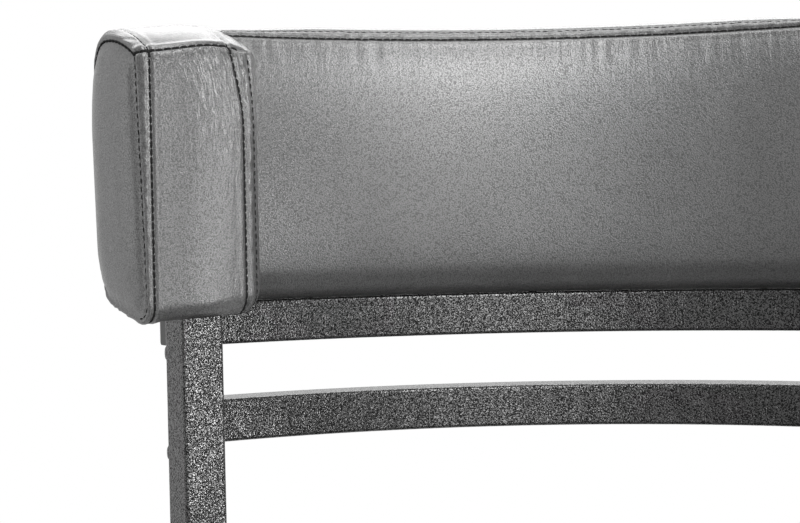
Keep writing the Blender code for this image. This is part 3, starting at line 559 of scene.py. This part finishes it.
def build_blocks():
    """End blocks: an upright band between two side panels, with double rows of thread along both its rims."""
    front, back = -BLOCK_FRONT, BLOCK_BACK
    corners = ((back, BLOCK_BOTTOM), (front, BLOCK_BOTTOM), (front, BLOCK_SEAM), (back, BLOCK_SEAM))
    loop, marks = resample(rounded_loop(corners, BLOCK_CORNERS), BLOCK_POINTS, (2,))
    inner, outer, outer_reach = block_rims(loop)
    inner_turn = np.linspace(math.pi / 2, 0.0, INNER_RIM_RINGS)[:, None]
    outer_turn = np.linspace(0.0, math.pi / 2, OUTER_RIM_RINGS)[:, None]
    cap = np.linspace(0.0, 1.0, BLOCK_CAP_RINGS + 1)[:-1]
    band = np.linspace(0.0, 1.0, BLOCK_BAND_RINGS + 2)[1:-1, None]
    inner_start, outer_start = inner - BLOCK_INWARD, outer_reach - outer
    outer_middle = (outer_reach.max() + outer_reach.min()) / 2
    ones = np.ones_like(loop[None, :, 0])
    back_out = cap[::-1, None]
    levels = np.concatenate((
        -BLOCK_INWARD - INNER_CAP_DISH * (1 - cap[:, None] ** 2) * ones,
        inner_start - inner * np.sin(inner_turn),
        inner_start + (outer_start - inner_start) * band,
        outer_start + outer * np.sin(outer_turn),
        outer_middle + (outer_reach - outer_middle) * back_out + SIDE_SWELL * (1 - back_out**4),
    ))
    insets = np.concatenate((
        INNER_RIM_DEPTH * np.ones_like(cap)[:, None] * ones,
        INNER_RIM_DEPTH * (1 - np.cos(inner_turn)) * ones,
        0.0 * band * ones,
        outer * (1 - np.cos(outer_turn)),
        outer * np.ones_like(cap)[:, None],
    ))
    shares = np.concatenate((cap, np.ones(len(levels) - 2 * len(cap)), cap[::-1]))
    row_d = len(cap) + len(inner_turn) - 1
    row_e = len(cap) + int(np.argmin(np.abs(inner_turn - SECOND_ROW_TURN)))
    row_b = row_d + len(band) + 1
    row_a = row_b + len(outer_turn) - 1
    middle = np.array(((front + back) / 2, (BLOCK_BOTTOM + BLOCK_SEAM) / 2))
    points = in_left_block(block_form(drum(loop, middle, levels, insets, shares)))
    held = np.zeros(points.shape[:2])
    held[: row_d + 1] = 1.0
    held[row_b: row_a + 1] = 1.0
    corner = marks[2]
    held[:, corner - 2: corner + 3] = 1.0
    held[:, : marks[1] + 3] = 1.0
    held[:, -6:] = 1.0
    points = swell(points, held, pressure=5.0, cap=0.0022, calm=3)
    normals = facing(points)
    along = lengths(np.concatenate((points, points[:, :1]), axis=1), axis=1)[:, :-1]
    ring = lengths(points)
    across = along - along[:, corner: corner + 1]
    for name, side in (("left", 1.0), ("right", -1.0)):
        seed = LEFT_SEED if side > 0 else RIGHT_SEED
        relief = np.zeros(points.shape[:2])
        for row, depth in ((row_a, 0.0008), (row_b, 0.0010), (row_d, 0.0011), (row_e, 0.0004)):
            relief += groove(ring - ring[row], depth, width=0.0009)
        for low, high in ((row_b, row_a), (row_e, row_d)):
            halfway = (ring[low] + ring[high]) / 2
            relief += 0.00035 * gathers(ring - halfway, along, reach=0.0040, pitch=0.0033, seed=seed + low)
        past_inner = np.clip((ring - ring[row_e]) / 0.003, 0.0, 1.0)
        on_band = past_inner * np.clip((ring[row_a] - ring) / 0.003, 0.0, 1.0)
        relief += on_band * groove(across, depth=0.0011, width=0.0010)
        relief += on_band * 0.00014 * gathers(across + 0.008, ring, reach=0.009, pitch=0.0038, seed=seed)
        shaped = points + normals * relief[:, :, None]
        below = np.clip(-across, 0.0, None)
        inner_side = np.clip((ring - ring[row_d]) / (ring[row_b] - ring[row_d]), 0.0, 1.0)
        creased = BLOCK_CREASE * np.exp(-below / BLOCK_CREASE_RUN)
        pucker = creased * (1.10 - inner_side) * (across < 0.001) * on_band
        up = normals * np.array((side, 1.0, 1.0))
        shaped = shaped * np.array((side, 1.0, 1.0))
        block = leather_piece(f"back_block_{name}", shaped, panel_uv(shaped, row_d), pucker)
        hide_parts("back_pad")
        rows = block_rows(shaped, up, (row_a, row_b, row_d, row_e), corner, marks)
        finish_thread(thread_piece(f"back_block_{name}_thread", rows))


def block_rows(points, up, rim_rows, corner, marks):
    """Thread of one block: rows on both rims, up the front and over the top, and one across the front."""
    row_a, row_b, row_d, row_e = rim_rows
    front = slice(marks[1] - 6, corner + 1)
    run = lengths(points[row_e, : corner + 1])
    short = slice(marks[1] - 6, int(np.searchsorted(run, run[-1] - SECOND_ROW_STOP)))
    top = slice(corner, len(points[0]) - BLOCK_BACK_STOP)
    plan = (
        (row_a, front, THIN_ROW),
        (row_a, top, THICK_ROW),
        (row_b, front, THICK_ROW),
        (row_b, top, THIN_ROW),
        (row_d, front, HEAVY_ROW),
        (row_d, top, THIN_ROW),
        (row_e, short, THIN_ROW),
    )
    rows = [stitch_row(points[row, part], up[row, part], kind) for row, part, kind in plan]
    across = slice(row_d - 3, row_a + 1)
    rows.append(stitch_row(points[across, corner], up[across, corner], HEAVY_ROW))
    return rows


def seat_loop():
    """Plan of the seat: a rounded rectangle whose rear edge swells out to follow the back."""
    low, high = CUSHION_LOW, CUSHION_HIGH
    rear = high.y - SEAT_BOW
    front = low.y + SEAT_FRONT_BOW
    corners = ((low.x, rear), (low.x, front), (high.x, front), (high.x, rear))
    loop = resample(rounded_loop(corners, (SEAT_CORNER,) * 4), SEAT_POINTS, ())[0]
    share = (loop[:, 1] - front) / (rear - front)
    swelling = SEAT_BOW * share**4 - SEAT_FRONT_BOW * (1 - share) ** 4
    return np.column_stack((loop[:, 0], loop[:, 1] + swelling * (1 - (loop[:, 0] / high.x) ** 2)))


def build_cushion():
    """Seat cushion: a flat underside, a side band and a crowned top panel sewn to it with two rows."""
    loop = seat_loop()
    middle = (loop.max(axis=0) + loop.min(axis=0)) / 2
    bottom, crown = CUSHION_LOW.z + FIT, CUSHION_HIGH.z
    seam = CUSHION_LOW.z + SEAT_SEAM
    turn = np.linspace(0.0, math.pi / 2, SEAT_RIM_RINGS)
    side = np.linspace(0.0, 1.0, SEAT_SIDE_RINGS + 2)[1:-1]
    cap = np.linspace(0.0, 1.0, SEAT_CAP_RINGS + 1)[:-1]
    top = np.linspace(1.0, 0.0, SEAT_TOP_RINGS + 1)[1:]
    levels = np.concatenate((
        np.full(len(cap), bottom),
        bottom + SEAT_LOW_RIM * (1 - np.cos(turn)),
        bottom + SEAT_LOW_RIM + (seam - SEAT_RIM - bottom - SEAT_LOW_RIM) * side,
        seam - SEAT_RIM * (1 - np.sin(turn)),
        seam + (crown - seam) * (1 - top**2.6),
    ))
    insets = np.concatenate((
        np.full(len(cap), SEAT_LOW_RIM),
        SEAT_LOW_RIM * (1 - np.sin(turn)),
        np.zeros(len(side)),
        SEAT_RIM * (1 - np.cos(turn)),
        np.full(len(top), SEAT_RIM),
    ))
    shares = np.concatenate((cap, np.ones(len(levels) - len(cap) - len(top)), top))
    shape = (len(levels), len(loop))
    levels = np.broadcast_to(levels[:, None], shape)
    insets = np.broadcast_to(insets[:, None], shape)
    points = drum(loop, middle, levels, insets, shares)
    seam_row = len(cap) + len(turn) + len(side) + SEAT_SEAM_RING
    held = np.zeros(shape)
    held[: len(cap) + 2] = 1.0
    held[seam_row - 1: seam_row + 2] = 1.0
    points = swell(points, held, pressure=4.0, cap=0.004, calm=3)
    normals = facing(points)
    ring = lengths(points)
    along = lengths(np.concatenate((points, points[:, :1]), axis=1), axis=1)[:, :-1]
    along = np.broadcast_to(along[seam_row][None], shape)
    distance = ring - ring[seam_row]
    second = int(np.argmin(np.abs(distance[:, 0] - SEAT_SECOND_ROW)))
    relief = groove(distance, depth=0.0012, width=0.0011)
    relief += groove(ring - ring[second], depth=0.0005, width=0.0009)
    halfway = SEAT_SECOND_ROW / 2
    relief += 0.0003 * gathers(distance - halfway, along, reach=0.0045, pitch=0.0036, seed=61)
    relief += 0.0002 * gathers(distance + 0.008, along, reach=0.009, pitch=0.0048, seed=62)
    points = points + normals * relief[:, :, None]
    pucker = np.exp(-np.clip(-distance, 0.0, None) / SEAT_CREASE_RUN) * (distance < 0.001)
    across_seam = panel_uv(points, seam_row)[..., ::-1]
    cushion = leather_piece("seat_cushion_cover", points, across_seam, pucker)
    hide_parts("seat_cushion")
    closed = np.concatenate((points, points[:, :1]), axis=1)
    up = np.concatenate((normals, normals[:, :1]), axis=1)
    plan = ((seam_row, THICK_ROW), (second, THIN_ROW))
    rows = [stitch_row(closed[row], up[row], kind) for row, kind in plan]
    finish_thread(thread_piece("seat_cushion_thread", rows))


def weld_bead(path, inward, radius, seed):
    """Weld in a corner: a round section along a path, swelling in ripples two fifths of its radius apart.

    inward is the direction into the corner. The bead is drawn out at both ends like a drop.
    """
    run = lengths(path)
    places = np.linspace(0.0, run[-1], WELD_STEPS)
    at = np.column_stack([np.interp(places, run, path[:, axis]) for axis in range(3)])
    ahead = np.gradient(at, axis=0)
    ahead /= np.linalg.norm(ahead, axis=1, keepdims=True)
    aside = np.cross(ahead, np.broadcast_to(inward, at.shape))
    aside /= np.linalg.norm(aside, axis=1, keepdims=True)
    above = np.cross(aside, ahead)
    ends = np.clip(1 - np.abs(2 * places / run[-1] - 1) ** 24, 0.0, 1.0) ** 0.5
    ripple = 1 + 0.07 * np.sin(places / (0.40 * radius) * 2 * math.pi)
    ripple = ripple + 0.06 * smooth_noise(places, radius, seed)
    size = (radius * ends * ripple)[:, None, None]
    turn = np.arange(WELD_SIDES) * math.pi / (WELD_SIDES / 2)
    tall = WELD_TALL * np.sin(turn)[None, :, None] * above[:, None]
    ring = np.cos(turn)[None, :, None] * aside[:, None] + tall
    return at[:, None] + size * ring


def build_welds():
    """Fillet welds where the rails cross behind the posts: below both rails and above the lower one."""
    points, faces, used = [], [], 0
    rear = TUBE / 2
    heights = (RAIL_LOW.z, LOWER_RAIL_LOW.z, LOWER_RAIL_HIGH.z)
    for index, height in enumerate(heights):
        above = height == LOWER_RAIL_HIGH.z
        inward = -1.0 if above else 1.0
        half = rear - 2 * WELD_RADIUS if above else rear
        across = np.linspace(-half, half, WELD_PATH)
        centre = height - PAD_BOTTOM - WELD_BELOW * inward
        local = np.column_stack((np.full(WELD_PATH, rear), np.full(WELD_PATH, centre), across))
        corner = np.array((0.0, 0.0, inward))
        bead = weld_bead(in_left_block(local), corner, WELD_RADIUS, WELD_SEED + index)
        for side in (1.0, -1.0):
            points.append((bead * np.array((side, 1.0, 1.0))).reshape(-1, 3))
            faces.append(grid_faces(*bead.shape[:2]) + used)
            used += len(points[-1])
    welds = new_mesh("back_welds", np.concatenate(points), np.concatenate(faces))
    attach(welds, "seat")
    welds.data.materials.append(MATERIALS["powder_coat"])


def node_maker(name):
    """Empty material with its shader, and short ways to add a node and a link."""
    material = bpy.data.materials.new(name)
    material.use_nodes = True
    tree = material.node_tree
    shader = tree.nodes["Principled BSDF"]

    def add(kind, **values):
        node = tree.nodes.new(kind)
        for key, value in values.items():
            if hasattr(node, key):
                setattr(node, key, value)
            else:
                node.inputs[key.replace("_", " ")].default_value = value
        return node

    return material, shader, add, tree.links.new


def ramp(add, link, factor, stops):
    """Colour ramp of grey stops, each (place, grey)."""
    node = add("ShaderNodeValToRGB")
    elements = node.color_ramp.elements
    while len(elements) < len(stops):
        elements.new(0.5)
    for element, (place, grey) in zip(elements, stops):
        element.position = place
        element.color = (grey, grey, grey, 1.0)
    link(factor, node.inputs["Fac"])
    return node.outputs["Color"]


def leather_material():
    """Grained grey leather: pebbles in relief, with painted shade and duller gloss between them, creased
    where gathered.
    """
    material, shader, add, link = node_maker("grey_leather")
    place = add("ShaderNodeTexCoord").outputs["Object"]
    pebble = add("ShaderNodeTexVoronoi", Scale=1250.0, Randomness=1.0)
    link(place, pebble.inputs["Vector"])
    fine = add("ShaderNodeTexNoise", Scale=1300.0, Detail=1.0, Roughness=0.6)
    link(place, fine.inputs["Vector"])
    broad = add("ShaderNodeTexNoise", Scale=22.0, Detail=3.0, Roughness=0.55)
    link(place, broad.inputs["Vector"])
    grain = add("ShaderNodeMath", operation="MULTIPLY_ADD")
    link(fine.outputs["Fac"], grain.inputs[0])
    grain.inputs[1].default_value = 1.2
    link(pebble.outputs["Distance"], grain.inputs[2])
    tone = ramp(add, link, broad.outputs["Fac"], ((0.30, 0.053), (0.70, 0.066)))
    # painted shade: the colour darkens towards each pebble's edge, where its low relief would be shaded
    pebble_shade = ramp(add, link, pebble.outputs["Distance"], ((0.10, 1.0), (0.75, 0.55)))
    colour = add("ShaderNodeMix", data_type="RGBA", blend_type="MULTIPLY", Factor=1.0)
    link(tone, colour.inputs[6])
    link(pebble_shade, colour.inputs[7])
    link(colour.outputs[2], shader.inputs["Base Color"])
    panel = add("ShaderNodeUVMap", uv_map="panel")
    stretch = add("ShaderNodeMapping")
    stretch.inputs["Scale"].default_value = (70.0, 330.0, 1.0)
    link(panel.outputs["UV"], stretch.inputs["Vector"])
    crease = add("ShaderNodeTexNoise", Scale=1.0, Detail=2.0, Roughness=0.5, Distortion=0.4)
    link(stretch.outputs["Vector"], crease.inputs["Vector"])
    strength = add("ShaderNodeAttribute", attribute_name="pucker")
    gathered = add("ShaderNodeMath", operation="MULTIPLY")
    link(crease.outputs["Fac"], gathered.inputs[0])
    link(strength.outputs["Fac"], gathered.inputs[1])
    creased = add("ShaderNodeBump", Strength=1.0, Distance=0.0019)
    link(gathered.outputs["Value"], creased.inputs["Height"])
    bump = add("ShaderNodeBump", Strength=1.0, Distance=0.00009, invert=True)
    link(grain.outputs["Value"], bump.inputs["Height"])
    link(creased.outputs["Normal"], bump.inputs["Normal"])
    link(bump.outputs["Normal"], shader.inputs["Normal"])
    shine = ramp(add, link, pebble.outputs["Distance"], ((0.1, 0.26), (0.8, 0.35)))
    link(shine, shader.inputs["Roughness"])
    gloss = ramp(add, link, pebble.outputs["Distance"], ((0.20, 0.95), (0.72, 0.42)))
    link(gloss, shader.inputs["Specular IOR Level"])
    return material


def powder_material():
    """Dark powder coat with a wrinkled skin: short worm-like ridges under a millimetre apart, with painted
    shade in the valleys between them.
    """
    material, shader, add, link = node_maker("wrinkled_powder_coat")
    place = add("ShaderNodeTexCoord").outputs["Object"]
    worm = add("ShaderNodeTexNoise", Scale=1250.0, Detail=0.5, Roughness=0.4, Distortion=0.6)
    link(place, worm.inputs["Vector"])
    bump = add("ShaderNodeBump", Strength=1.0, Distance=0.00020)
    link(worm.outputs["Fac"], bump.inputs["Height"])
    link(bump.outputs["Normal"], shader.inputs["Normal"])
    # painted shade: the base colour is darker in the wrinkles' valleys than on their ridges
    tone = ramp(add, link, worm.outputs["Fac"], ((0.36, 0.006), (0.64, 0.022)))
    link(tone, shader.inputs["Base Color"])
    shine = ramp(add, link, worm.outputs["Fac"], ((0.43, 0.04), (0.57, 0.66)))
    link(shine, shader.inputs["Specular IOR Level"])
    shader.inputs["Roughness"].default_value = 0.14
    return material


def plastic_material():
    """Black moulded plastic with a fine spark-eroded texture."""
    material, shader, add, link = node_maker("black_plastic_moulded")
    place = add("ShaderNodeTexCoord").outputs["Object"]
    pits = add("ShaderNodeTexNoise", Scale=1600.0, Detail=2.0, Roughness=0.6)
    link(place, pits.inputs["Vector"])
    tone = ramp(add, link, pits.outputs["Fac"], ((0.3, 0.014), (0.7, 0.026)))
    link(tone, shader.inputs["Base Color"])
    bump = add("ShaderNodeBump", Strength=0.4, Distance=0.0002)
    link(pits.outputs["Fac"], bump.inputs["Height"])
    link(bump.outputs["Normal"], shader.inputs["Normal"])
    shader.inputs["Roughness"].default_value = 0.5
    return material


def zinc_material():
    """Bright zinc plating on pressed steel: faint crystal patches and blotches."""
    material, shader, add, link = node_maker("zinc_plating")
    place = add("ShaderNodeTexCoord").outputs["Object"]
    patch = add("ShaderNodeTexVoronoi", Scale=260.0)
    link(place, patch.inputs["Vector"])
    blotch = add("ShaderNodeTexNoise", Scale=60.0, Detail=4.0, Roughness=0.6)
    link(place, blotch.inputs["Vector"])
    tone = ramp(add, link, blotch.outputs["Fac"], ((0.3, 0.46), (0.7, 0.60)))
    link(tone, shader.inputs["Base Color"])
    shine = ramp(add, link, patch.outputs["Distance"], ((0.0, 0.26), (0.9, 0.42)))
    link(shine, shader.inputs["Roughness"])
    shader.inputs["Metallic"].default_value = 1.0
    return material


def plywood_material():
    """Dark-stained plywood: layers across the height and long grain streaks."""
    material, shader, add, link = node_maker("plywood_sheet")
    place = add("ShaderNodeTexCoord").outputs["Object"]
    stretch = add("ShaderNodeMapping")
    stretch.inputs["Scale"].default_value = (14.0, 130.0, 500.0)
    link(place, stretch.inputs["Vector"])
    streak = add("ShaderNodeTexNoise", Scale=1.0, Detail=5.0, Roughness=0.6)
    link(stretch.outputs["Vector"], streak.inputs["Vector"])
    node = add("ShaderNodeValToRGB")
    node.color_ramp.elements[0].position = 0.35
    node.color_ramp.elements[0].color = (0.022, 0.017, 0.013, 1.0)
    node.color_ramp.elements[1].position = 0.65
    node.color_ramp.elements[1].color = (0.060, 0.047, 0.036, 1.0)
    link(streak.outputs["Fac"], node.inputs["Fac"])
    link(node.outputs["Color"], shader.inputs["Base Color"])
    shader.inputs["Roughness"].default_value = 0.7
    return material


def thread_material():
    """Black bonded thread with a fine twist."""
    material, shader, add, link = node_maker("black_thread")
    place = add("ShaderNodeTexCoord").outputs["Object"]
    twist = add("ShaderNodeTexNoise", Scale=2600.0, Detail=1.0)
    link(place, twist.inputs["Vector"])
    tone = ramp(add, link, twist.outputs["Fac"], ((0.3, 0.004), (0.7, 0.010)))
    link(tone, shader.inputs["Base Color"])
    shader.inputs["Roughness"].default_value = 0.9
    shader.inputs["Specular IOR Level"].default_value = 0.1
    return material


MATERIALS = {
    "leather": leather_material(),
    "thread": thread_material(),
    "powder_coat": powder_material(),
    "black_plastic": plastic_material(),
    "zinc": zinc_material(),
    "plywood": plywood_material(),
}


def dress_nodes():
    """Every solid that stays in view gets the finish of its slot."""
    for entry in frame["record"]["subparts"]:
        node = NODES[entry["node"]]
        node.data.materials.clear()
        node.data.materials.append(MATERIALS[entry["material_slot"]])


# Studio
FLOOR_RADIUS = 2.4
FLOOR_FADE = 1.0
FLOOR_SIDES = 96
WORLD_LIGHT = 0.10
CAMERA_PLACE = (-0.0754, -0.7342, 0.8820)
CAMERA_YAW = math.radians(0.42)
CAMERA_DOWN = math.radians(1.05)
CAMERA_ROLL = math.radians(-1.18)
FOCAL_PIXELS = 1530.0
PHOTO_WIDTH = 800.0
SENSOR = 36.0

# Lamps: azimuth and elevation in degrees, metres away, watts, width and height
LAMP_TARGET = (0.0, 0.15, 0.90)
LAMPS = {
    "key_high": (14.0, 38.0, 2.0, 33.0, (1.00, 0.70)),
    "key": (14.0, 22.0, 2.0, 17.0, (0.90, 0.50)),
    "low_front": (11.0, -5.0, 2.0, 9.5, (0.75, 0.40)),
    "low_right": (56.0, -10.0, 1.8, 12.0, (0.30, 0.40)),
    "right_side": (82.0, 18.0, 1.8, 28.0, (0.60, 0.60)),
    "left_soft": (-92.0, 6.0, 2.0, 4.5, (0.9, 1.2)),
    "rear_left": (-125.0, 47.0, 2.0, 16.0, (0.90, 0.90)),
    "rear": (180.0, 42.0, 2.0, 22.0, (1.8, 0.9)),
    "overhead": (6.0, 78.0, 1.8, 31.0, (1.3, 1.2)),
}


def white_when_seen(tree):
    """Factor that is 1 for rays that see the backdrop directly, in gloss or through glass."""
    rays = tree.nodes.new("ShaderNodeLightPath")
    seen = rays.outputs["Is Camera Ray"]
    for kind in ("Is Glossy Ray", "Is Transmission Ray"):
        either = tree.nodes.new("ShaderNodeMath")
        either.operation = "MAXIMUM"
        tree.links.new(seen, either.inputs[0])
        tree.links.new(rays.outputs[kind], either.inputs[1])
        seen = either.outputs["Value"]
    return seen


def build_world():
    """Soft white light from all round, behind a backdrop that is plain white where it is seen."""
    world = bpy.data.worlds.new("white_studio")
    bpy.context.scene.world = world
    world.use_nodes = True
    tree = world.node_tree
    soft = tree.nodes["Background"]
    soft.inputs["Color"].default_value = (1.0, 1.0, 1.0, 1.0)
    soft.inputs["Strength"].default_value = WORLD_LIGHT
    white = tree.nodes.new("ShaderNodeBackground")
    white.inputs["Strength"].default_value = 1.0
    white.inputs["Color"].default_value = (1.0, 1.0, 1.0, 1.0)
    mix = tree.nodes.new("ShaderNodeMixShader")
    tree.links.new(white_when_seen(tree), mix.inputs["Fac"])
    tree.links.new(soft.outputs["Background"], mix.inputs[1])
    tree.links.new(white.outputs["Background"], mix.inputs[2])
    tree.links.new(mix.outputs["Shader"], tree.nodes["World Output"].inputs["Surface"])


def build_floor():
    """Pale round floor that fades into the white around it and keeps the stool's shadow."""
    angles = np.arange(FLOOR_SIDES) * 2 * math.pi / FLOOR_SIDES
    points = np.column_stack((np.cos(angles), np.sin(angles), np.zeros(FLOOR_SIDES))) * FLOOR_RADIUS
    mesh = bpy.data.meshes.new("floor")
    mesh.from_pydata(points, [], [list(range(FLOOR_SIDES))])
    floor = bpy.data.objects.new("floor", mesh)
    bpy.context.scene.collection.objects.link(floor)
    material, shader, add, link = node_maker("pale_floor")
    shader.inputs["Base Color"].default_value = (0.86, 0.86, 0.86, 1.0)
    shader.inputs["Roughness"].default_value = 0.7
    place = add("ShaderNodeTexCoord").outputs["Object"]
    far = add("ShaderNodeVectorMath", operation="LENGTH")
    link(place, far.inputs[0])
    fade = add("ShaderNodeMapRange", interpolation_type="SMOOTHSTEP")
    fade.inputs["From Min"].default_value = FLOOR_FADE
    fade.inputs["From Max"].default_value = FLOOR_RADIUS
    link(far.outputs["Value"], fade.inputs["Value"])
    seen = add("ShaderNodeMath", operation="MULTIPLY")
    link(fade.outputs["Result"], seen.inputs[0])
    link(white_when_seen(material.node_tree), seen.inputs[1])
    white = add("ShaderNodeEmission", Strength=1.0)
    mix = add("ShaderNodeMixShader")
    link(seen.outputs["Value"], mix.inputs["Fac"])
    link(shader.outputs["BSDF"], mix.inputs[1])
    link(white.outputs["Emission"], mix.inputs[2])
    link(mix.outputs["Shader"], material.node_tree.nodes["Material Output"].inputs["Surface"])
    mesh.materials.append(material)


def add_lamp(name, place, target, power, size):
    """Rectangular lamp at a place, turned to its target."""
    lamp = bpy.data.lights.new(name, "AREA")
    lamp.shape = "RECTANGLE"
    lamp.size, lamp.size_y = size
    lamp.energy = power
    holder = bpy.data.objects.new(name, lamp)
    bpy.context.scene.collection.objects.link(holder)
    holder.location = place
    holder.rotation_euler = (Vector(target) - Vector(place)).to_track_quat("-Z", "Y").to_euler()


def build_camera():
    """The photograph's view: turned by its yaw, tipped down, then rolled about its own axis."""
    camera = bpy.data.cameras.new("camera")
    camera.sensor_width = SENSOR
    camera.lens = FOCAL_PIXELS / PHOTO_WIDTH * SENSOR
    camera.clip_start = 0.01
    holder = bpy.data.objects.new("camera", camera)
    bpy.context.scene.collection.objects.link(holder)
    level = Matrix.Rotation(CAMERA_YAW, 4, "Z") @ Matrix.Rotation(math.pi / 2 - CAMERA_DOWN, 4, "X")
    holder.matrix_world = Matrix.Translation(CAMERA_PLACE) @ level @ Matrix.Rotation(CAMERA_ROLL, 4, "Z")
    bpy.context.scene.camera = holder


def around(azimuth, elevation, distance):
    """Place of a lamp round the back: degrees to the right of the front, degrees up, metres away."""
    turn, lift = math.radians(azimuth), math.radians(elevation)
    flat = distance * math.cos(lift)
    _, y, z = LAMP_TARGET
    return (flat * math.sin(turn), y - flat * math.cos(turn), z + distance * math.sin(lift))


def build_studio():
    """Backdrop, floor, lamps and camera."""
    scene = bpy.context.scene
    scene.view_settings.view_transform = "Standard"
    build_world()
    build_floor()
    for name, (azimuth, elevation, distance, power, size) in LAMPS.items():
        add_lamp(name, around(azimuth, elevation, distance), LAMP_TARGET, power, size)
    build_camera()


dress_nodes()
build_pad()
build_blocks()
build_cushion()
build_welds()
build_studio()
